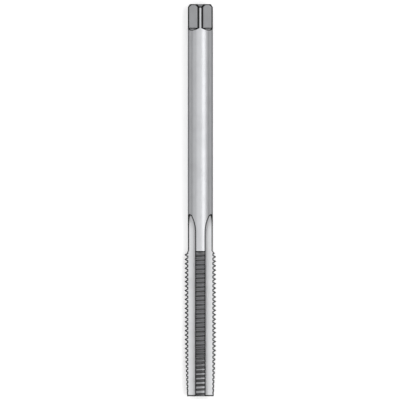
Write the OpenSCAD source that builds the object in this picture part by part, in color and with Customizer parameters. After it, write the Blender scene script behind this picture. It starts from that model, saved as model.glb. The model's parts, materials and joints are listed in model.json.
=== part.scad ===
// Long-shank nut tap with a metric right-hand thread, ground from one bar and lying on its side as it rests on a bench.
// The whole tool is one solid: a turned blank, ring grooves tilted to the lead of the thread, straight flutes and a drive square.
// It is drawn standing on its tip, then laid along +Y with one land on top and the shank touching the ground.

/* [Thread] */
// Major diameter of the thread
thread_d = 18; // [17.5:0.5:22]
// Pitch of the thread
pitch = 2.5; // [1.5:0.25:3]
// Length of the threaded part, lead included
thread_len = 81.5; // [60:0.5:90]
// Length of the tapered lead at the tip
lead_len = 28.5; // [14:0.5:45]
// How much the diameter at the very tip stands over the root of the thread
tip_over_root = 0.17; // [0.1:0.01:0.6]
// Axial length of the chamfer behind the last turn
back_chamfer = 2; // [1:0.1:4]
// Included angle of the thread
thread_angle = 60; // [50:1:60]

/* [Shank] */
// Overall length of the tap
overall_len = 220; // [180:1:260]
// Diameter of the shank and the neck
shank_d = 14; // [12:0.25:14.25]
// Axial length of the chamfer on the drive end
end_chamfer_len = 1.7; // [0.5:0.1:3]
// Depth of that chamfer, measured along the radius
end_chamfer_depth = 1.1; // [0.3:0.1:1.3]

/* [Drive square] */
// Distance across the flats of the square
square_af = 11.2; // [9.5:0.1:11.8]
// Length of the flats, without the slope they end in
flat_len = 13.5; // [10:0.1:18]
// Angle of that slope to the axis
slope_angle = 52; // [20:1:70]

/* [Flutes] */
// Number of flutes, and so of lands
flutes = 3; // [3:1:4]
// Width of each land
land_w = 5.6; // [4:0.1:6.4]
// Radius at the floor of each flute
floor_r = 2.5; // [1:0.1:3.2]
// Length of the flutes at full depth, from the tip
flute_len = 92; // [91:0.5:110]
// Radius of the grinding wheel that leaves the run-out
wheel_r = 17.5; // [11:0.5:40]

/* [Centre holes] */
// Diameter of the pilot bore in each centre hole
pilot_d = 2; // [1:0.1:3]
// Depth of each centre hole
centre_depth = 4.4; // [3.5:0.1:7]
// Diameter of the cone at its mouth
cone_d = 4.25; // [3.25:0.05:5]
// Included angle of the cone
cone_angle = 60; // [55:1:65]

/* [Hidden] */
$fn = 96;

// Shares of the pitch in the basic profile of the thread
depth_share = 0.6134;
crest_share = 0.125;
pitch_line_share = 0.6495;

// How far every cutter reaches past what it cuts
overrun = 0.1 * pitch;
thread_r = thread_d / 2;
shank_r = shank_d / 2;
depth = depth_share * pitch;
root_r = thread_r - depth;
tip_r = root_r + tip_over_root / 2;
flank = tan(thread_angle / 2);
lead_angle = atan(pitch / (PI * (thread_d - pitch_line_share * pitch)));
drill_point_slope = 31;

// Each groove runs on past both sides of its land by this angle
past_land = 8;
groove_arc = 2 * (asin(land_w / 2 / root_r) + past_land);

// The bar as turned: lead, thread at full diameter, neck, shank and end chamfer
module blank() {
    rotate_extrude()
        polygon([
            [0, 0],
            [tip_r, 0],
            [thread_r, lead_len],
            [thread_r, thread_len - back_chamfer],
            [shank_r, thread_len],
            [shank_r, overall_len - end_chamfer_len],
            [shank_r - end_chamfer_depth, overall_len],
            [0, overall_len],
        ]);
}

// One flute: half its opening angle, and where its floor lies from the axis
half_angle = 180 / flutes;
floor_x = (land_w / 2 + floor_r) / sin(half_angle);
floor_depth = floor_x - floor_r;
reach = thread_r + overrun;

// Where the wheel stops it sinks in by this much, so its arc crosses the floor instead of only touching it
dip_share = 0.004;
dip = dip_share * wheel_r;

// The wedge between two land sides, closed at the bottom by the floor radius
module flute_section() {
    apex_x = land_w / 2 / sin(half_angle);
    tan_x = floor_x - floor_r * sin(half_angle);
    tan_y = floor_r * cos(half_angle);
    mouth_y = (reach - apex_x) * tan(half_angle);
    translate([floor_x, 0]) circle(r = floor_r);
    polygon([[tan_x, tan_y], [reach, mouth_y], [reach, -mouth_y], [tan_x, -tan_y]]);
}

// A straight flute, and the arc on which the wheel leaves the metal behind it
module flute() {
    wheel_x = floor_depth + wheel_r;
    exit_angle = acos(1 - (shank_r + overrun + dip - floor_depth) / wheel_r);
    entry_angle = 2 * acos(1 - dip / wheel_r);
    translate([0, 0, -overrun]) linear_extrude(flute_len + overrun) flute_section();
    translate([wheel_x - dip, 0, flute_len])
        rotate([90, 0, 0])
            rotate([0, 0, 180 - exit_angle])
                rotate_extrude(angle = exit_angle + entry_angle)
                    translate([wheel_x, 0]) mirror([1, 0]) flute_section();
}

// Flutes lie between the lands, and a land faces -Y before the tap is laid down
module flute_set() {
    for (i = [0 : flutes - 1]) rotate([0, 0, 360 * (i + 0.5) / flutes - 90]) flute();
}

// One flat of the drive square, with the slope that leads out of it onto the shank
module flat_cutter() {
    flat_x = square_af / 2;
    side = shank_r + overrun;
    translate([0, shank_r, overall_len - flat_len])
        rotate([90, 0, 0])
            linear_extrude(shank_d)
                polygon([
                    [flat_x, 0],
                    [side, (flat_x - side) / tan(slope_angle)],
                    [side, flat_len + overrun],
                    [flat_x, flat_len + overrun],
                ]);
}

module flats() {
    for (i = [0 : 3]) rotate([0, 0, 45 + 90 * i]) flat_cutter();
}

// A centre drill's hole: the cone that a lathe centre sits in, and the pilot bore under it
module centre_hole() {
    cone_len = (cone_d - pilot_d) / 2 / tan(cone_angle / 2);
    point_len = pilot_d / 2 * tan(drill_point_slope);
    rotate_extrude()
        polygon([
            [0, -overrun],
            [cone_d / 2, -overrun],
            [cone_d / 2, 0],
            [pilot_d / 2, cone_len],
            [pilot_d / 2, centre_depth],
            [0, centre_depth + point_len],
        ]);
}

// Everything but the thread
module fluted_blank() {
    difference() {
        blank();
        flute_set();
        flats();
        centre_hole();
        translate([0, 0, overall_len]) mirror([0, 0, 1]) centre_hole();
    }
}

// A groove of the thread across one land: a short arc, tilted about the middle of the land to the lead of the helix
module groove() {
    half_mouth = pitch * (1 - crest_share) / 2;
    past = overrun / 2;
    rotate([lead_angle, 0, 0])
        rotate([0, 0, -groove_arc / 2])
            rotate_extrude(angle = groove_arc)
                polygon([
                    [root_r, depth * flank - half_mouth],
                    [root_r, half_mouth - depth * flank],
                    [thread_r + past, half_mouth + past * flank],
                    [thread_r + past, -half_mouth - past * flank],
                ]);
}

// The helix in arcs: one turn further up by a pitch, one land further round by its share of a pitch
module grooves() {
    for (land = [0 : flutes - 1])
        rotate([0, 0, 360 * land / flutes - 90])
            for (turn = [0 : ceil(thread_len / pitch)])
                translate([0, 0, pitch * (turn + land / flutes - 0.5)])
                    groove();
}

module tap() {
    color("silver")
        translate([0, -overall_len / 2, shank_r])
            rotate([-90, 0, 0])
                difference() {
                    fluted_blank();
                    grooves();
                }
}

tap();
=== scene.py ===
# %% [markdown]
# A long-shank nut tap, dressed for rendering.
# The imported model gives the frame, the size and the place of the tool. This script makes a finer piece of the
# same shape that stands in the same place, with a continuous helical thread and its own ground finishes.

# %% The frame
import bpy, bmesh, json, math
from mathutils import Matrix, Vector

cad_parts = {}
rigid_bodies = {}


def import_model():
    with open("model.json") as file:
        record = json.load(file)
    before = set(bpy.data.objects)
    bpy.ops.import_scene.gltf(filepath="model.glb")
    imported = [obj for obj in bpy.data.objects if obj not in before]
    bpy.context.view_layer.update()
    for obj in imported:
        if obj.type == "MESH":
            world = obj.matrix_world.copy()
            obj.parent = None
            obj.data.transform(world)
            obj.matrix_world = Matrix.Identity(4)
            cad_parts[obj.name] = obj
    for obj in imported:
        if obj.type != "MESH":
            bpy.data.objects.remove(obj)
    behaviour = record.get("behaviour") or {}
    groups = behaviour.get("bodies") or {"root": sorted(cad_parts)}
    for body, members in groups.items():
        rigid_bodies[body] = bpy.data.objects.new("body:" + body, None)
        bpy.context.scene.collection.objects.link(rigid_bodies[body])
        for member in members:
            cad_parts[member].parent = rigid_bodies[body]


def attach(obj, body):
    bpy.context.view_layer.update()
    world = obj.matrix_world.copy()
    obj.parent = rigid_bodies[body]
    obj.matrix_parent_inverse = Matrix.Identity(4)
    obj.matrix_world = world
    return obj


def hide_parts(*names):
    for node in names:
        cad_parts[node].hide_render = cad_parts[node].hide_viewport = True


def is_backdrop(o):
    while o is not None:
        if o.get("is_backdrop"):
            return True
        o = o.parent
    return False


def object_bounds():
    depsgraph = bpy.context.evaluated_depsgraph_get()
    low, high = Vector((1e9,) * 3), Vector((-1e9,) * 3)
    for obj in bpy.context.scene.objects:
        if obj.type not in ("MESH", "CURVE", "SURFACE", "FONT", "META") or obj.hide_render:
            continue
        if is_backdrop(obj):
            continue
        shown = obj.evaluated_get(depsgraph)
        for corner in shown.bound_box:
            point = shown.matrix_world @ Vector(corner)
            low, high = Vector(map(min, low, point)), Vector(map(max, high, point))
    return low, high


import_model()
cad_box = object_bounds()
print("packed box in metres:", cad_box)

# %% [markdown]
# The tool is made standing on its tip with its axis on Z, because that is how a lathe or a grinder turns it, and it
# is laid down at the very end. All sizes are in millimetres, as its drawing would give them. The thread is a metric
# one: its groove is 0.6134 of the pitch deep, and the crest between two grooves is an eighth of the pitch wide.

# %% Sizes of the bar and its thread
LENGTH = 220.0
SHANK_R = 7.0
END_CHAMFER_LEN = 1.7
END_CHAMFER_DEPTH = 1.1
THREAD_R = 9.0
THREAD_LEN = 81.5                 # the lead counts in it
LEAD_LEN = 28.5
BACK_CHAMFER = 2.0                # behind the last turn
PITCH = 2.5
DEPTH_SHARE = 0.6134
CREST_SHARE = 0.125
FLANK_ANGLE = math.radians(30)    # of one side of the groove, half of the thread angle
ROOT_R = THREAD_R - DEPTH_SHARE * PITCH
TIP_OVER_ROOT = 0.085
TIP_R = ROOT_R + TIP_OVER_ROOT
print("root radius %.3f mm, tip radius %.3f mm" % (ROOT_R, TIP_R))

# %% [markdown]
# Each way of cutting leaves its own surface, so the piece carries one material slot for each of them. A cutter brings
# its own slot number with it, and the cut faces keep that number: a flute is ground because the wheel that made it
# was, with nothing to select by hand afterwards.

# %% Slot numbers
SLOTS = 8
SHANK, THREAD, LEAD, FLUTE, SQUARE, SLOPE, CENTRE, FACED = range(SLOTS)
print(SLOTS, "slots on the one piece")

# %% [markdown]
# Turning. On a lathe the work spins and the tool follows an outline. Here the outline spins, once about Z. It comes
# back to where it began and its ends lie on the axis, so the seam and the two poles are welded afterwards. That leaves
# a closed shape, and its faces are then turned to point outwards.

# %% Helpers: turning
NEAR = 1e-4                       # two points nearer than this are one point
NO_LENGTH = 1e-6                  # an edge shorter than this is none


def close_up(bm):
    """Weld the seam and the poles, then point all faces outwards."""
    bmesh.ops.remove_doubles(bm, verts=bm.verts, dist=NEAR)
    bmesh.ops.dissolve_degenerate(bm, edges=bm.edges, dist=NO_LENGTH)
    open_ends = [e for e in bm.edges if e.is_boundary]
    if open_ends:
        bmesh.ops.holes_fill(bm, edges=open_ends, sides=0)
    bmesh.ops.recalc_face_normals(bm, faces=bm.faces)
    return bm


def turned(outline, steps):
    """Spin an outline of (radius, height) points once about Z."""
    bm = bmesh.new()
    verts = [bm.verts.new((r, 0, h)) for r, h in outline]
    edges = [bm.edges.new(pair) for pair in zip(verts, verts[1:])]
    bmesh.ops.spin(bm, geom=verts + edges, cent=(0, 0, 0), axis=(0, 0, 1), dvec=(0, 0, 0), angle=2 * math.pi,
                   steps=steps, use_merge=True, use_normal_flip=False, use_duplicate=False)
    return close_up(bm)


print("helpers close_up and turned")

# %% [markdown]
# From mesh code to object. A bmesh is only a working copy, so it is written to a mesh, and an object shows the mesh.
# All its faces start with one slot number, and the slots stay empty until the finishes are made.

# %% Helper: an object from a bmesh
def as_object(bm, name, slot):
    """Turn the mesh into an object whose faces all carry one slot number."""
    for face in bm.faces:
        face.material_index = slot
    mesh = bpy.data.meshes.new(name)
    bm.to_mesh(mesh)
    still_open = sum(1 for e in bm.edges if not e.is_manifold)
    print("%-12s %6d faces, %d open edges" % (name, len(bm.faces), still_open))
    bm.free()
    obj = bpy.data.objects.new(name, mesh)
    bpy.context.scene.collection.objects.link(obj)
    for number in range(SLOTS):
        mesh.materials.append(None)
    return obj


print("helper as_object")

# %% [markdown]
# The blank. A tap starts as a bar turned between centres: a long tapered lead, the thread's full diameter, then a neck
# and shank thinner than the root of the thread, so that finished nuts can slide up it, and a chamfered end. One
# outline gives all of it. The ends, the lead and the thread's full diameter get slots of their own by their height.

# %% Turn the blank
TURNED_STEPS = 144
STEEP = 0.9                       # a face whose normal lies this much along the axis is an end
blank = turned([
    (0, 0), (TIP_R, 0), (THREAD_R, LEAD_LEN), (THREAD_R, THREAD_LEN - BACK_CHAMFER), (SHANK_R, THREAD_LEN),
    (SHANK_R, LENGTH - END_CHAMFER_LEN), (SHANK_R - END_CHAMFER_DEPTH, LENGTH), (0, LENGTH)], TURNED_STEPS)
work = as_object(blank, "tap_body", SHANK)
for face in work.data.polygons:
    if abs(face.normal.z) > STEEP:
        face.material_index = FACED
    elif face.center.z < LEAD_LEN:
        face.material_index = LEAD
    elif face.center.z < THREAD_LEN:
        face.material_index = THREAD
print("bar turned in %d steps" % TURNED_STEPS)

# %% [markdown]
# Cutting. A cutter is a closed shape of the metal to be taken away, and a Boolean modifier takes it out of the work.
# The Manifold solver is quick and exact on closed shapes and keeps the slot numbers of both. The result is read back
# as the new mesh at once, so no modifier stays on the piece, and the cutter is thrown away.

# %% Helpers: cutting
def carve(work, cutter):
    """Take the cutter out of the work and throw the cutter away."""
    cut = work.modifiers.new("cut", "BOOLEAN")
    cut.operation = "DIFFERENCE"
    cut.solver = "MANIFOLD"
    cut.object = cutter
    shaped = bpy.data.meshes.new_from_object(work.evaluated_get(bpy.context.evaluated_depsgraph_get()))
    work.modifiers.clear()
    old, work.data = work.data, shaped
    bpy.data.meshes.remove(old)
    bpy.data.objects.remove(cutter)
    print("   cut down to %d faces" % len(work.data.polygons))


def verts_in(geom):
    return [g for g in geom if isinstance(g, bmesh.types.BMVert)]


CLEAR = 1.0                       # how far a cutter reaches past the work
print("helpers carve and verts_in")

# %% [markdown]
# The section of the thread. A grinding wheel dressed to the 60 degree profile stands in the groove: narrow at the
# root, wide at the mouth, and a little taller than the thread so that it comes out clear of the skin. The same four
# corners, drawn in the plane through the axis, are all that the helix needs.

# %% Section of the groove
PAST_SKIN = 0.125
TURNS_BELOW_TIP = 1.25            # the first turn starts this many pitches under the tip
half_groove = PITCH * (1 - CREST_SHARE) / 2
half_root = half_groove - (THREAD_R - ROOT_R) * math.tan(FLANK_ANGLE)
half_mouth = half_groove + PAST_SKIN * math.tan(FLANK_ANGLE)
ridge = bmesh.new()
corners = [ridge.verts.new((r, 0, h - TURNS_BELOW_TIP * PITCH)) for r, h in (
    (ROOT_R, -half_root), (THREAD_R + PAST_SKIN, -half_mouth), (THREAD_R + PAST_SKIN, half_mouth), (ROOT_R, half_root))]
sides = [ridge.edges.new((corners[i], corners[i - 1])) for i in range(4)]
print("groove %.2f mm wide at the root, %.2f mm at the mouth" % (2 * half_root, 2 * half_mouth))

# %% [markdown]
# The thread. The work turns past the wheel while the wheel feeds one pitch for each turn. Spin does the same: its dvec
# lifts the section a little at every step. One turn is spun and copied up the tool, because spinning all the turns in
# one go takes many times as long. What the section sweeps is the metal that the wheel takes out.

# %% Grind the thread
STEPS_A_TURN = 96
TURNS = 35
bmesh.ops.spin(ridge, geom=corners + sides, cent=(0, 0, 0), axis=(0, 0, 1), dvec=(0, 0, PITCH / STEPS_A_TURN),
               angle=2 * math.pi, steps=STEPS_A_TURN, use_merge=False, use_normal_flip=False, use_duplicate=False)
one_turn = ridge.verts[:] + ridge.edges[:] + ridge.faces[:]
for turn in range(1, TURNS):
    copied = bmesh.ops.duplicate(ridge, geom=one_turn)["geom"]
    bmesh.ops.translate(ridge, verts=verts_in(copied), vec=(0, 0, PITCH * turn))
carve(work, as_object(close_up(ridge), "thread_wheel", THREAD))

# %% [markdown]
# The section of a flute. Three valleys carry the chips away and leave three lands between them. Each valley has two
# straight sides, parallel to the middle lines of the lands beside it, and a round bottom. The wedge between the sides
# is extruded along the tool, and a bevel of its keel makes the round bottom, because a bevel keeps the sides straight.

# %% Flute: the straight part
LAND_W = 5.6
FLOOR_R = 2.5
FLUTE_LEN = 92.0                  # at full depth
HALF_VALLEY = math.radians(60)
KEEL_STEPS = 14
apex_x = LAND_W / 2 / math.sin(HALF_VALLEY)
mouth_x = THREAD_R + CLEAR
mouth_y = (mouth_x - apex_x) * math.tan(HALF_VALLEY)
flutes = bmesh.new()
valley = ((apex_x, 0), (mouth_x, mouth_y), (mouth_x, -mouth_y))
wedge = flutes.faces.new([flutes.verts.new((x, y, -CLEAR)) for x, y in valley])
raised = bmesh.ops.extrude_face_region(flutes, geom=[wedge])["geom"]
bmesh.ops.translate(flutes, verts=verts_in(raised), vec=(0, 0, FLUTE_LEN + CLEAR))
keel = [e for e in flutes.edges if all(abs(v.co.x - apex_x) < NEAR for v in e.verts)]
bmesh.ops.bevel(flutes, geom=keel, offset=FLOOR_R / math.tan(HALF_VALLEY), offset_type="OFFSET", segments=KEEL_STEPS,
                profile=0.5, affect="EDGES", clamp_overlap=False, material=-1)
floor_depth = (LAND_W / 2 + FLOOR_R) / math.sin(HALF_VALLEY) - FLOOR_R
print("flute floor %.2f mm from the axis" % floor_depth)

# %% [markdown]
# The run-out. At the end of its travel the wheel lifts out, and its own radius stays in the metal as a curved ramp.
# The end face of the wedge is spun about the wheel's axle, from where the wheel stops until it is clear of the shank.
# The valley is then turned to its place between two lands, and copied twice.

# %% Flute: the run-out
WHEEL_R = 17.5
LIFT_STEPS = 24
PAST_SHANK = 0.25
LANDS = 3
FIRST_FLUTE = -30                 # in degrees, so that one land ends up on top
lift_angle = math.acos(1 - (SHANK_R + PAST_SHANK - floor_depth) / WHEEL_R)
flute_end = FLUTE_LEN + math.sqrt(WHEEL_R ** 2 - (WHEEL_R - SHANK_R + floor_depth) ** 2)
top = [f for f in flutes.faces if all(abs(v.co.z - FLUTE_LEN) < NEAR for v in f.verts)]
bmesh.ops.spin(flutes, geom=top + list(top[0].edges) + list(top[0].verts), cent=(floor_depth + WHEEL_R, 0, FLUTE_LEN),
               axis=(0, 1, 0), dvec=(0, 0, 0), angle=lift_angle, steps=LIFT_STEPS, use_merge=False,
               use_normal_flip=False, use_duplicate=False)
close_up(flutes)


def turn_round(bm, verts, degrees):
    """Turn the points about the axis of the tool."""
    bmesh.ops.rotate(bm, verts=verts, cent=(0, 0, 0), matrix=Matrix.Rotation(math.radians(degrees), 3, "Z"))


def copy_round(bm, places):
    """Copy all that the mesh holds about the axis, to that many places in all."""
    first = bm.verts[:] + bm.edges[:] + bm.faces[:]
    for place in range(1, places):
        copied = bmesh.ops.duplicate(bm, geom=first)["geom"]
        turn_round(bm, verts_in(copied), 360 / places * place)


turn_round(flutes, flutes.verts, FIRST_FLUTE)
copy_round(flutes, LANDS)
print("run-out ends %.1f mm from the tip" % flute_end)
carve(work, as_object(flutes, "flute_wheel", FLUTE))

# %% [markdown]
# The drive square. Four flats are milled off the shank for the tap wrench. Each one leads out onto the round through
# a short slope, which leaves a straight crease across the flat and a small lens-shaped face under it. The cutter is
# that step seen from the side, drawn once, extruded across the shank and turned to each of the four places. It is a
# little narrower than the square, so that the four don't touch, and its sloped face has a slot of its own.

# %% Mill the square
FLAT_TO_AXIS = 5.6
FLAT_LEN = 13.5
SLOPE_ANGLE = math.radians(52)    # to the axis
FLATS = 4
FIRST_FLAT = 45                   # in degrees, so that a corner of the square ends up on top
NARROWER = 0.95
LEVEL = 0.1                       # a face whose normal lies less than this along the axis is a side
crease = LENGTH - FLAT_LEN
side_x = SHANK_R + CLEAR
slope_len = (side_x - FLAT_TO_AXIS) / math.tan(SLOPE_ANGLE)
half_wide = NARROWER * FLAT_TO_AXIS
mill = bmesh.new()
step = mill.faces.new([mill.verts.new((x, -half_wide, z)) for x, z in (
    (FLAT_TO_AXIS, crease), (side_x, crease - slope_len), (side_x, LENGTH + CLEAR), (FLAT_TO_AXIS, LENGTH + CLEAR))])
raised = bmesh.ops.extrude_face_region(mill, geom=[step])["geom"]
bmesh.ops.translate(mill, verts=verts_in(raised), vec=(0, 2 * half_wide, 0))
turn_round(mill, mill.verts, FIRST_FLAT)
copy_round(mill, FLATS)
bmesh.ops.recalc_face_normals(mill, faces=mill.faces)
end_mill = as_object(mill, "end_mill", SQUARE)
for face in end_mill.data.polygons:
    if LEVEL < abs(face.normal.z) < STEEP:
        face.material_index = SLOPE
print("slope from the flat to the round: %.2f mm long" % ((SHANK_R - FLAT_TO_AXIS) / math.tan(SLOPE_ANGLE)))
carve(work, end_mill)

# %% [markdown]
# The centre holes. The blank is turned and ground between two centres, so a centre drill has left a 60 degree cone
# and a small pilot bore in each end. The drill is a turned shape like the bar, and it is used at both ends.

# %% Drill the centres
PILOT_R = 1.0
CONE_R = 2.125
HOLE_DEPTH = 4.4
HALF_CONE = math.radians(30)
POINT_SLOPE = math.radians(31)
DRILL_STEPS = 64
cone_len = (CONE_R - PILOT_R) / math.tan(HALF_CONE)
drill = [(0, -CLEAR), (CONE_R, -CLEAR), (CONE_R, 0), (PILOT_R, cone_len), (PILOT_R, HOLE_DEPTH),
         (0, HOLE_DEPTH + PILOT_R * math.tan(POINT_SLOPE))]
carve(work, as_object(turned(drill, DRILL_STEPS), "tip_drill", CENTRE))
carve(work, as_object(turned([(r, LENGTH - h) for r, h in drill], DRILL_STEPS), "drive_drill", CENTRE))

# %% [markdown]
# The last weld. A cutter often leaves two points on one spot where its faces meet those of the work, with an edge of
# no length between them. Nobody can see it, but the mesh opens when an exporter drops such edges, so points within
# a thousandth of a millimetre of each other become one. Many-sided faces are then cut into triangles here, where the
# operator picks well-shaped ones, because an exporter's own cut leaves slivers along their straight sides.

# %% Weld the cuts
WELD = 0.001                      # points nearer than this are one point
welded = bmesh.new()
welded.from_mesh(work.data)
points = len(welded.verts)
bmesh.ops.remove_doubles(welded, verts=welded.verts, dist=WELD)
bmesh.ops.triangulate(welded, faces=welded.faces, quad_method="BEAUTY", ngon_method="BEAUTY")
still_open = sum(1 for e in welded.edges if not e.is_manifold)
print("%d points welded away, %d open edges" % (points - len(welded.verts), still_open))
welded.to_mesh(work.data)
welded.free()

# %% [markdown]
# Laying it down. The tool comes to rest on its shank with one land straight up. Its place goes into the mesh, and the
# object itself stays at the origin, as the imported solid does. Faces that meet at more than 18 degrees keep a sharp
# edge between them, and all others are shaded as one smooth surface.

# %% Lay it on the bench
SHARP_ANGLE = math.radians(18)
METRE = 1000                      # millimetres in a metre
on_shank = Matrix.Translation((0, -LENGTH / 2, SHANK_R))
lay = Matrix.Scale(1 / METRE, 4) @ on_shank @ Matrix.Rotation(math.radians(-90), 4, "X")
work.data.transform(lay)
work.data.shade_smooth()
work.data.set_sharp_from_angle(angle=SHARP_ANGLE)
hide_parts("tap")
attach(work, "root")
print("tap_body: %d triangles" % sum(len(p.vertices) - 2 for p in work.data.polygons))

# %% [markdown]
# Nodes from code. A material is a small network: each node has settings, input values and links. Four short helpers
# keep the recipes readable: one starts a node group, one makes a node, one feeds an output to an input, and one
# does a sum with numbers or other nodes' results. The links belong to the tree that a socket is in, its id_data.

# %% Helpers: nodes
FLOAT, VECTOR = "NodeSocketFloat", "NodeSocketVector"


def group(name, inputs, outputs):
    """A new node group with its named sockets. Every output is a number."""
    tree = bpy.data.node_groups.new(name, "ShaderNodeTree")
    for label, kind, value in inputs:
        tree.interface.new_socket(name=label, in_out="INPUT", socket_type=kind).default_value = value
    for label in outputs:
        tree.interface.new_socket(name=label, in_out="OUTPUT", socket_type=FLOAT)
    return tree, tree.nodes.new("NodeGroupInput"), tree.nodes.new("NodeGroupOutput")


def node(tree, kind, values=(), **settings):
    """A new node with its settings by name, and its input values in a dictionary."""
    made = tree.nodes.new(kind)
    for key, value in settings.items():
        setattr(made, key, value)
    for key, value in dict(values).items():
        made.inputs[key].default_value = value
    return made


def feed(source, target):
    target.id_data.links.new(source, target)


def calc(operation, a, b=None, clamp=False):
    """One sum on socket a, with a number or another socket as b."""
    made = node(a.id_data, "ShaderNodeMath", operation=operation, use_clamp=clamp)
    feed(a, made.inputs[0])
    if isinstance(b, (int, float)):
        made.inputs[1].default_value = b
    elif b is not None:
        feed(b, made.inputs[1])
    return made.outputs[0]


print("helpers group, node, feed and calc")

# %% [markdown]
# Fine lines from a grinding wheel. Nearly every finish on this tool is a family of parallel scratches that differ in
# direction, spacing and depth, so one group makes them all: noise on stretched Object coordinates. Where the stretch
# is large the pattern changes quickly, so the lines run at right angles to it. A slower copy adds the broad bands.

# %% Group: wheel lines
BAND_SHARE = 0.16                 # how quickly the broad bands change, against the fine lines
wheel_lines, gin, gout = group(
    "wheel_lines", [("Stretch", VECTOR, (60, 6000, 60)), ("Coarse share", FLOAT, 0.25)], ["Tone", "Height"])
coords = node(wheel_lines, "ShaderNodeTexCoord")
stretched = node(wheel_lines, "ShaderNodeVectorMath", operation="MULTIPLY")
feed(coords.outputs["Object"], stretched.inputs[0])
feed(gin.outputs["Stretch"], stretched.inputs[1])
fine = node(wheel_lines, "ShaderNodeTexNoise", {"Scale": 1.0, "Detail": 3.0, "Roughness": 0.6})
feed(stretched.outputs[0], fine.inputs["Vector"])
slower = node(wheel_lines, "ShaderNodeVectorMath", {"Scale": BAND_SHARE}, operation="SCALE")
feed(stretched.outputs[0], slower.inputs[0])
coarse = node(wheel_lines, "ShaderNodeTexNoise", {"Scale": 1.0, "Detail": 1.0})
feed(slower.outputs[0], coarse.inputs["Vector"])
blend = node(wheel_lines, "ShaderNodeMix", data_type="FLOAT")
feed(gin.outputs["Coarse share"], blend.inputs[0])
feed(fine.outputs[0], blend.inputs[2])
feed(coarse.outputs[0], blend.inputs[3])
feed(blend.outputs[0], gout.inputs["Tone"])
feed(fine.outputs[0], gout.inputs["Height"])
print("group wheel_lines:", len(wheel_lines.nodes), "nodes")

# %% [markdown]
# Rings on the ends. A lathe faces the two ends of the bar while it turns, so their lines are circles about the axis.
# Noise in one dimension, read at the distance from the axis, gives rings of uneven strength.

# %% Group: facing rings
facing_rings, gin, gout = group("facing_rings", [("Rings a metre", FLOAT, 6000.0)], ["Tone", "Height"])
coords = node(facing_rings, "ShaderNodeTexCoord")
centred = node(facing_rings, "ShaderNodeVectorMath", {1: (0, 0, SHANK_R / METRE)}, operation="SUBTRACT")
feed(coords.outputs["Object"], centred.inputs[0])
across = node(facing_rings, "ShaderNodeVectorMath", {1: (1, 0, 1)}, operation="MULTIPLY")
feed(centred.outputs[0], across.inputs[0])
from_axis = node(facing_rings, "ShaderNodeVectorMath", operation="LENGTH")
feed(across.outputs[0], from_axis.inputs[0])
rings = node(facing_rings, "ShaderNodeTexNoise", {"Scale": 1.0, "Detail": 2.0}, noise_dimensions="1D")
feed(calc("MULTIPLY", from_axis.outputs["Value"], gin.outputs["Rings a metre"]), rings.inputs["W"])
feed(rings.outputs[0], gout.inputs["Tone"])
feed(rings.outputs[0], gout.inputs["Height"])
print("group facing_rings:", len(facing_rings.nodes), "nodes")

# %% [markdown]
# Handling. A tool that has been picked up and wiped has faint cloudy patches where oil dulls the steel.
# A soft, large noise gives one mask for both colour and roughness.

# %% Group: oil film
oil_film, gin, gout = group("oil_film", [("Size", FLOAT, 90.0)], ["Patch"])
coords = node(oil_film, "ShaderNodeTexCoord")
cloud = node(oil_film, "ShaderNodeTexNoise", {"Detail": 4.0, "Roughness": 0.55, "Distortion": 0.4})
feed(coords.outputs["Object"], cloud.inputs["Vector"])
feed(gin.outputs["Size"], cloud.inputs["Scale"])
patch = node(oil_film, "ShaderNodeMapRange", {"From Min": 0.42, "From Max": 0.68}, interpolation_type="SMOOTHSTEP")
feed(cloud.outputs[0], patch.inputs["Value"])
feed(patch.outputs[0], gout.inputs["Patch"])
print("group oil_film:", len(oil_film.nodes), "nodes")

# %% [markdown]
# Places on the tool. Many marks depend on where a point lies: the root of the thread, the floor of a flute, the rim
# where a cut comes out. One group measures this from Object coordinates, in millimetres, and does the sums that the
# cutters were made from. The first two measures are how far a point is along the tool and how far from its axis.

# %% Group: place on the tool, along and out
tool_place, gin, gout = group("tool_place", [], ["Along", "Radius", "Depth", "Beside", "Groove", "Skin", "Flat"])
coords = node(tool_place, "ShaderNodeTexCoord")
to_mm = node(tool_place, "ShaderNodeVectorMath", {1: (METRE, METRE, METRE), 2: (0, LENGTH / 2, -SHANK_R)},
             operation="MULTIPLY_ADD")
feed(coords.outputs["Object"], to_mm.inputs[0])
split = node(tool_place, "ShaderNodeSeparateXYZ")
feed(to_mm.outputs[0], split.inputs[0])
side, along, up = split.outputs
radius = calc("SQRT", calc("ADD", calc("MULTIPLY", side, side), calc("MULTIPLY", up, up)))
feed(along, gout.inputs["Along"])
feed(radius, gout.inputs["Radius"])
print("group tool_place: outputs Along and Radius")

# %% [markdown]
# Depth under the turned skin. The skin is the blank's outline: a cone at the lead, a cylinder, a cone behind the last
# turn, the shank and the end chamfer. Each is a straight line of radius against height. The lowest of the first three
# counts, but never less than the shank, and the chamfer cuts that off at the end.

# %% Group: place on the tool, under the skin
def line_through(value, slope, offset):
    """The straight line slope times value plus offset."""
    made = node(value.id_data, "ShaderNodeMath", {1: slope, 2: offset}, operation="MULTIPLY_ADD")
    feed(value, made.inputs[0])
    return made.outputs[0]


back_slope = (THREAD_R - SHANK_R) / BACK_CHAMFER
end_slope = END_CHAMFER_DEPTH / END_CHAMFER_LEN
lead_cone = line_through(along, (THREAD_R - TIP_R) / LEAD_LEN, TIP_R)
back_cone = line_through(along, -back_slope, THREAD_R + back_slope * (THREAD_LEN - BACK_CHAMFER))
end_cone = line_through(along, -end_slope, SHANK_R + end_slope * (LENGTH - END_CHAMFER_LEN))
skin = calc("MINIMUM", calc("MINIMUM", lead_cone, back_cone), THREAD_R)
skin = calc("MINIMUM", calc("MAXIMUM", skin, SHANK_R), end_cone)
below_skin = calc("SUBTRACT", skin, radius)
feed(below_skin, gout.inputs["Skin"])
print("group tool_place: output Skin")

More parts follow.
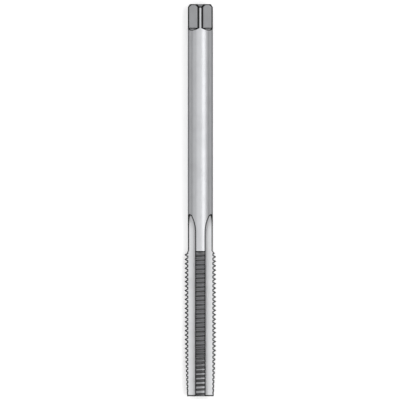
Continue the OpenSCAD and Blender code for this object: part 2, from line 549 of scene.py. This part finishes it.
# %% [markdown]
# Depth under the groove. The angle about the axis and the height together say where a point is in its turn of the
# helix. Ping-pong folds that into the distance from the middle of the nearest groove, and the line of the flank gives
# the radius of the metal there. The least of three depths, under the groove, under the skin and from the ends, is how
# deep a point would lie in a tool with no flute and no flat.

# %% Group: place on the tool, under the groove
angle = calc("ARCTAN2", calc("MULTIPLY", up, -1.0), side)
turns = calc("SUBTRACT", line_through(along, 1 / PITCH, TURNS_BELOW_TIP), calc("DIVIDE", angle, 2 * math.pi))
off_groove = calc("PINGPONG", turns, 0.5)
flank_slope = 1 / math.tan(FLANK_ANGLE)
flank = line_through(off_groove, PITCH * flank_slope, ROOT_R - half_root * flank_slope)
below_flank = calc("MULTIPLY", calc("SUBTRACT", flank, radius), math.sin(FLANK_ANGLE))
below_groove = calc("MAXIMUM", below_flank, line_through(radius, -1.0, ROOT_R))
to_ends = calc("MINIMUM", along, line_through(along, -1.0, LENGTH))
depth = calc("MINIMUM", calc("MINIMUM", below_groove, below_skin), to_ends)
feed(below_groove, gout.inputs["Groove"])
feed(depth, gout.inputs["Depth"])
print("group tool_place: outputs Groove and Depth")

# %% [markdown]
# Distance in from the side of a land. A land is a band of even width, so the distance is measured across it, and where
# the wheel lifts out the wall moves aside on the wheel's circle. Ping-pong on the angle treats all lands alike.

# %% Group: place on the tool, beside a flute
past_stop = calc("MAXIMUM", line_through(along, 1.0, -FLUTE_LEN), 0.0)
wheel_drop = calc("SQRT", line_through(calc("MULTIPLY", past_stop, past_stop), -1.0, WHEEL_R ** 2))
wall = line_through(wheel_drop, -math.sin(HALF_VALLEY), LAND_W / 2 + math.sin(HALF_VALLEY) * WHEEL_R)
off_top = calc("ABSOLUTE", calc("ARCTAN2", side, up))
off_land = calc("SINE", calc("PINGPONG", off_top, HALF_VALLEY))
beside = calc("SUBTRACT", wall, calc("MULTIPLY", radius, off_land))
feed(beside, gout.inputs["Beside"])
print("group tool_place: output Beside")

# %% [markdown]
# Distance under a flat of the square. The flat is a plane at one distance from the axis, and below the crease the
# plane slopes out. The point's distance toward the nearest of the four flats is compared with it.

# %% Group: place on the tool, near a flat
off_flat = calc("ABSOLUTE", calc("SUBTRACT", calc("PINGPONG", off_top, math.pi / 2), math.pi / 4))
toward_flat = calc("MULTIPLY", radius, calc("COSINE", off_flat))
below_crease = calc("MAXIMUM", line_through(along, -1.0, crease), 0.0)
flat_plane = line_through(below_crease, math.tan(SLOPE_ANGLE), FLAT_TO_AXIS)
feed(calc("SUBTRACT", flat_plane, toward_flat), gout.inputs["Flat"])
print("group tool_place:", len(tool_place.nodes), "nodes")

# %% [markdown]
# The steel. All finishes are the same metal, so they share one recipe and differ in tone, roughness and the run of
# their lines. The lines shift the colour a little and the roughness more, and a Bump node turns their height into a
# relief of a few thousandths of a millimetre. Marks are factors on the colour. The specular tint is black, because the
# metal would otherwise turn white at its silhouettes, and ground steel in a pale tent darkens there.

# %% Recipe of the steel
def steel(name, tone, rough, stretch, coarse_share, line_depth, rough_swing, tone_swing, oil, marks):
    """One finish. Where stretch is a plain number, the lines are rings, that many a metre."""
    mat = bpy.data.materials.new(name)
    mat.use_nodes = True
    tree = mat.node_tree
    shader = tree.nodes["Principled BSDF"]
    shader.inputs["Metallic"].default_value = 1.0
    shader.inputs["Specular Tint"].default_value = (0, 0, 0, 1)
    if isinstance(stretch, tuple):
        lines = node(tree, "ShaderNodeGroup", node_tree=wheel_lines)
        lines.inputs["Stretch"].default_value = stretch
        lines.inputs["Coarse share"].default_value = coarse_share
    else:
        lines = node(tree, "ShaderNodeGroup", node_tree=facing_rings)
        lines.inputs["Rings a metre"].default_value = stretch
    patch = node(tree, "ShaderNodeGroup", node_tree=oil_film).outputs["Patch"]
    place = node(tree, "ShaderNodeGroup", node_tree=tool_place).outputs
    off_middle = calc("SUBTRACT", lines.outputs["Tone"], 0.5)
    bright = calc("SUBTRACT", calc("ADD", calc("MULTIPLY", off_middle, tone_swing), 1.0), calc("MULTIPLY", patch, oil))
    for mark in marks(place):
        bright = calc("MULTIPLY", bright, mark)
    colour = node(tree, "ShaderNodeVectorMath", {0: tone}, operation="SCALE")
    feed(bright, colour.inputs["Scale"])
    feed(colour.outputs[0], shader.inputs["Base Color"])
    rougher = calc("ADD", calc("MULTIPLY", off_middle, rough_swing), rough)
    feed(calc("ADD", rougher, calc("MULTIPLY", patch, oil * 0.5), clamp=True), shader.inputs["Roughness"])
    bump = node(tree, "ShaderNodeBump", {"Distance": line_depth, "Strength": 1.0})
    feed(lines.outputs["Height"], bump.inputs["Height"])
    feed(bump.outputs[0], shader.inputs["Normal"])
    print("steel %-16s roughness %.2f" % (name, rough))
    return mat


print("recipe steel")

# %% [markdown]
# Marks at the edges. Dark lines are painted along the edges of the cuts as painted shade, where an edge would fall
# into shade, so that a dark line draws the tool around every cut. Each mark is a factor that climbs from dark to 1
# over a fraction of a millimetre, so it stays sharp from close up too.

# %% Helpers: marks
EDGE_FADE = 0.9                   # over this length a land's line ends at the run-out
SOLID_SHARE = 0.4                 # of a line's width


def shade(value, low, high, dark, light=1.0):
    """A factor that goes from dark to light while the value goes from low to high."""
    made = node(value.id_data, "ShaderNodeMapRange",
                {"From Min": low, "From Max": high, "To Min": dark, "To Max": light}, interpolation_type="SMOOTHSTEP")
    feed(value, made.inputs["Value"])
    return made.outputs[0]


def painted_rim_shade(place, width, dark):
    """A painted dark band, painted shade along the rim of a cut where it comes out through the skin of the tool."""
    return shade(place["Depth"], low=width / 2, high=width, dark=dark)


def painted_land_edge_shade(place, dark):
    """A thin painted dark line along a land, painted shade where the flute falls away beside it. It ends where the
    flute does.
    """
    line = shade(place["Beside"], low=0.3, high=0.62, dark=dark)
    gone = shade(place["Along"], low=flute_end - EDGE_FADE, high=flute_end, dark=0.0)
    return calc("MAXIMUM", line, gone)


def painted_shade_line(place, height, width, dark):
    """A painted dark line where two turned or milled faces meet, at one height on the tool: painted shade along that
    edge.
    """
    off_line = calc("ABSOLUTE", line_through(place["Along"], 1.0, -height))
    return shade(off_line, low=width * SOLID_SHARE, high=width, dark=dark)


print("helpers shade, rim, painted_land_edge_shade and painted_shade_line")

# %% [markdown]
# The shank is ground round, so its lines are rings about the axis: the stretch is large along the tool. Painted
# shade darkens it where a flute runs out beside it, along the arris of each flat, and where the end chamfer starts.

# %% Finish: ground shank
def shank_marks(place):
    # Painted shade: dark lines along the arris of each flat, at the end chamfer and where a flute runs out.
    arris_painted_shade = shade(place["Flat"], low=0.2, high=0.48, dark=0.07)
    chamfer_painted_shade = painted_shade_line(place, LENGTH - END_CHAMFER_LEN, width=0.55, dark=0.10)
    return [painted_land_edge_shade(place, dark=0.12), chamfer_painted_shade, arris_painted_shade]


work.data.materials[SHANK] = steel(
    "ground_shank", tone=(0.35, 0.354, 0.364), rough=0.35, stretch=(60, 5200, 60), coarse_share=0.35, line_depth=3e-6,
    rough_swing=0.16, tone_swing=0.10, oil=0.05, marks=shank_marks)

# %% [markdown]
# The thread is ground too. Its flanks are bright, and its root and its crest are dark lines: the root is darkened
# by oil in it and by painted shade in the groove, and the narrow crest was stoned dull. Behind the last turn the crest
# ends in a chamfer, a broad face that the same mark would turn black as a whole, so the mark is weaker there.

# %% Finish: ground thread
def thread_marks(place):
    # The root's dark line is partly oil in it and partly painted shade in the groove.
    root = shade(place["Radius"], low=ROOT_R + 0.05, high=ROOT_R + 0.4, dark=0.10)
    crest = shade(place["Skin"], low=0.02, high=0.22, dark=0.16)
    last_turn = THREAD_LEN - BACK_CHAMFER
    chamfered = shade(place["Along"], low=last_turn, high=last_turn + 0.6, dark=0.0, light=0.55)
    return [painted_land_edge_shade(place, dark=0.2), root, calc("MAXIMUM", crest, chamfered)]


ground = dict(stretch=(90, 9000, 90), coarse_share=0.2, line_depth=2e-6, rough_swing=0.12, tone_swing=0.12, oil=0.08)
work.data.materials[THREAD] = steel(
    "ground_thread", tone=(0.58, 0.585, 0.595), rough=0.38, marks=thread_marks, **ground)

# %% [markdown]
# The lead is the cone in front, where the crests are cut away more and more towards the tip. These flat crests do the
# cutting and are the darkest steel on the tool. Painted shade follows each groove's mouth and the tip.

# %% Finish: ground lead
def lead_marks(place):
    # Painted shade: the groove's darkness is painted out over the edge of its mouth.
    mouth = shade(place["Groove"], low=0.1, high=0.4, dark=0.15)
    # Painted shade: a dark line painted along the tip.
    tip = shade(place["Along"], low=0.35, high=0.75, dark=0.15)
    return [painted_land_edge_shade(place, dark=0.15), mouth, tip]


work.data.materials[LEAD] = steel(
    "ground_lead", tone=(0.19, 0.192, 0.198), rough=0.34, marks=lead_marks, **ground)

# %% [markdown]
# The flutes are ground along the tool, so their lines run lengthwise: the stretch is large across it. They are the
# brightest steel, darkened towards the floor by painted shade, with a painted dark rim where they come out.

# %% Finish: ground flutes
def flute_marks(place):
    # Painted shade: the flute grows darker towards its floor, as a hollow in shade would.
    flute_floor_painted_shade = shade(place["Radius"], low=floor_depth, high=6.4, dark=0.82)
    return [painted_rim_shade(place, width=0.95, dark=0.05), flute_floor_painted_shade]


work.data.materials[FLUTE] = steel(
    "ground_flute", tone=(0.56, 0.565, 0.575), rough=0.38, stretch=(4200, 45, 4200), coarse_share=0.3, line_depth=3e-6,
    rough_swing=0.14, tone_swing=0.10, oil=0.06, marks=flute_marks)

# %% [markdown]
# The square is milled, with coarser lines across the flats. Painted shade runs as a dark rim round each flat and as a
# dark line along the crease where the flat ends. The slope below the crease is the same surface painted paler: painted
# light.

# %% Finish: milled square and slope
painted_crease_line_at = crease - 0.1        # just under the crease


def square_marks(place):
    # Painted shade: a dark rim round the flat and a dark line in the crease.
    return [painted_rim_shade(place, width=0.7, dark=0.06), painted_shade_line(place, painted_crease_line_at, width=0.5, dark=0.03)]


def slope_marks(place):
    return [painted_rim_shade(place, width=0.5, dark=0.03), painted_shade_line(place, painted_crease_line_at, width=0.34, dark=0.03)]


milled = dict(rough=0.42, stretch=(140, 3000, 140), coarse_share=0.45, line_depth=5e-6, rough_swing=0.16,
              tone_swing=0.14, oil=0.06)
work.data.materials[SQUARE] = steel("milled_square", tone=(0.35, 0.354, 0.364), marks=square_marks, **milled)
# The slope's paler tone is painted light on the same milled steel.
work.data.materials[SLOPE] = steel("milled_slope_painted_light", tone=(0.55, 0.555, 0.565), marks=slope_marks, **milled)

# %% [markdown]
# The two ends and the centre holes. The ends carry the lathe's rings, and the holes a drill's rough bore. They are
# plain, because nothing rubs or cuts there.

# %% Finish: centres and ends
def no_marks(place):
    return []


work.data.materials[CENTRE] = steel(
    "drilled_centre", tone=(0.42, 0.424, 0.43), rough=0.45, stretch=(900, 2600, 900), coarse_share=0.3, line_depth=4e-6,
    rough_swing=0.12, tone_swing=0.10, oil=0.05, marks=no_marks)
work.data.materials[FACED] = steel(
    "faced_end", tone=(0.40, 0.404, 0.414), rough=0.40, stretch=5000.0, coarse_share=0.0, line_depth=6e-6,
    rough_swing=0.16, tone_swing=0.16, oil=0.06, marks=no_marks)

# %% [markdown]
# The bench. The floor is plain and pale. It shows white to the camera and in reflections, and still takes the soft
# contact shadow of the tool, because the white is only added to what light the floor really gets.

# %% Floor
HALF_FLOOR = 3.0
PAPER = 0.72                      # what the paper gives back of the light
LIFT = 0.30                       # what is added to it, up to white
pad = bmesh.new()
bmesh.ops.create_grid(pad, x_segments=1, y_segments=1, size=HALF_FLOOR)
floor_mesh = bpy.data.meshes.new("bench_top")
pad.to_mesh(floor_mesh)
pad.free()
bench = bpy.data.objects.new("bench_top", floor_mesh)
bpy.context.scene.collection.objects.link(bench)
bench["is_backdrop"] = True
paper = bpy.data.materials.new("white_paper")
paper.use_nodes = True
tree = paper.node_tree
tree.nodes.remove(tree.nodes["Principled BSDF"])
seen = node(tree, "ShaderNodeLightPath").outputs
looked_at = calc("ADD", seen["Is Camera Ray"], seen["Is Glossy Ray"], clamp=True)
looked_at = calc("ADD", looked_at, seen["Is Transmission Ray"], clamp=True)
matte = node(tree, "ShaderNodeBsdfDiffuse", {"Color": (PAPER, PAPER, PAPER, 1)})
lift = node(tree, "ShaderNodeEmission", {"Color": (1, 1, 1, 1)})
feed(calc("MULTIPLY", looked_at, LIFT), lift.inputs["Strength"])
both = node(tree, "ShaderNodeAddShader")
feed(matte.outputs[0], both.inputs[0])
feed(lift.outputs[0], both.inputs[1])
feed(both.outputs[0], tree.nodes["Material Output"].inputs["Surface"])
floor_mesh.materials.append(paper)
print("floor %.0f m across" % bench.dimensions.x)

# %% [markdown]
# Lamps. Bare metal shows its surroundings, so where the lamps stand matters more than how strong they are. One large
# soft box high on the right gives a round bar its one bright band, and one overhead fills the rest. Two low ones, left
# and right, light the flutes, whose walls look that way. Each stands with its long side along the tool.

# %% Lamps
def soft_box(name, place, size, radiance):
    """A one-sided lamp that faces the tool. Radiance 1 looks as bright as white paper."""
    lamp = bpy.data.lights.new(name, "AREA")
    lamp.shape = "RECTANGLE"
    lamp.size, lamp.size_y = size
    lamp.energy = radiance * math.pi * size[0] * size[1]
    obj = bpy.data.objects.new(name, lamp)
    obj.location = place
    obj.rotation_euler = Vector(place).to_track_quat("Z", "X").to_euler()
    bpy.context.scene.collection.objects.link(obj)
    print("%s at %s, %.1f W" % (name, place, lamp.energy))


LONG_SIDE = 1.2
soft_box("key_box", place=(0.48, 0.0, 0.82), size=(0.60, LONG_SIDE), radiance=2.55)
soft_box("top_box", place=(-0.27, 0.0, 0.96), size=(0.90, LONG_SIDE), radiance=1.28)
soft_box("left_box", place=(-0.92, 0.0, 0.49), size=(0.46, LONG_SIDE), radiance=1.10)
soft_box("right_box", place=(0.92, 0.0, 0.47), size=(0.40, LONG_SIDE), radiance=0.86)

# %% [markdown]
# The surround. Between the lamps the metal reflects the walls of a photo tent, pale overhead and greyer towards the
# horizon, so a round bar darkens at its sides. The camera would see the same tent wherever the floor ends.

# %% Surround
HORIZON, OVERHEAD = 0.38, 0.60
world = bpy.data.worlds.new("surround")
bpy.context.scene.world = world
world.use_nodes = True
sky = world.node_tree
where = node(sky, "ShaderNodeTexCoord")
split = node(sky, "ShaderNodeSeparateXYZ")
feed(where.outputs["Generated"], split.inputs[0])
tent = shade(split.outputs["Z"], low=0.0, high=0.9, dark=HORIZON, light=OVERHEAD)
sky.nodes["Background"].inputs["Color"].default_value = (1, 1, 1, 1)
feed(tent, sky.nodes["Background"].inputs["Strength"])
print("surround from %.2f at the horizon to %.2f overhead" % (HORIZON, OVERHEAD))

# %% [markdown]
# The camera. The picture shows the tool upright, and it lies down here, so the camera looks straight down on it with
# the square end at the top. The picture has no perspective: both ends are equally large, so the lens is orthographic.
# The picture gives the height of the tool in pixels, and the camera stands a fraction of a pixel off its middle.

# %% Camera
FRAME = 400                       # pixels
TOOL_HEIGHT = 392.2               # pixels
PIXEL = LENGTH / METRE / TOOL_HEIGHT
OFF_MIDDLE = (-0.35, 0.18)        # pixels
EYE_HEIGHT = 0.6
eye = bpy.data.cameras.new("eye")
eye.type = "ORTHO"
eye.ortho_scale = FRAME * PIXEL
camera = bpy.data.objects.new("eye", eye)
camera.location = (OFF_MIDDLE[0] * PIXEL, OFF_MIDDLE[1] * PIXEL, EYE_HEIGHT)
bpy.context.scene.collection.objects.link(camera)
bpy.context.scene.camera = camera
bpy.context.scene.view_settings.view_transform = "Standard"
print("one pixel is %.3f mm" % (PIXEL * METRE))

# %% [markdown]
# Last, both boxes are printed: the dressed tool must fill the same box as the imported solid.

# %% Finish
visual_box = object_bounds()
for name, box in (("cad", cad_box), ("visual", visual_box)):
    print("%s box" % name, [[round(x, 5) for x in c] for c in box])
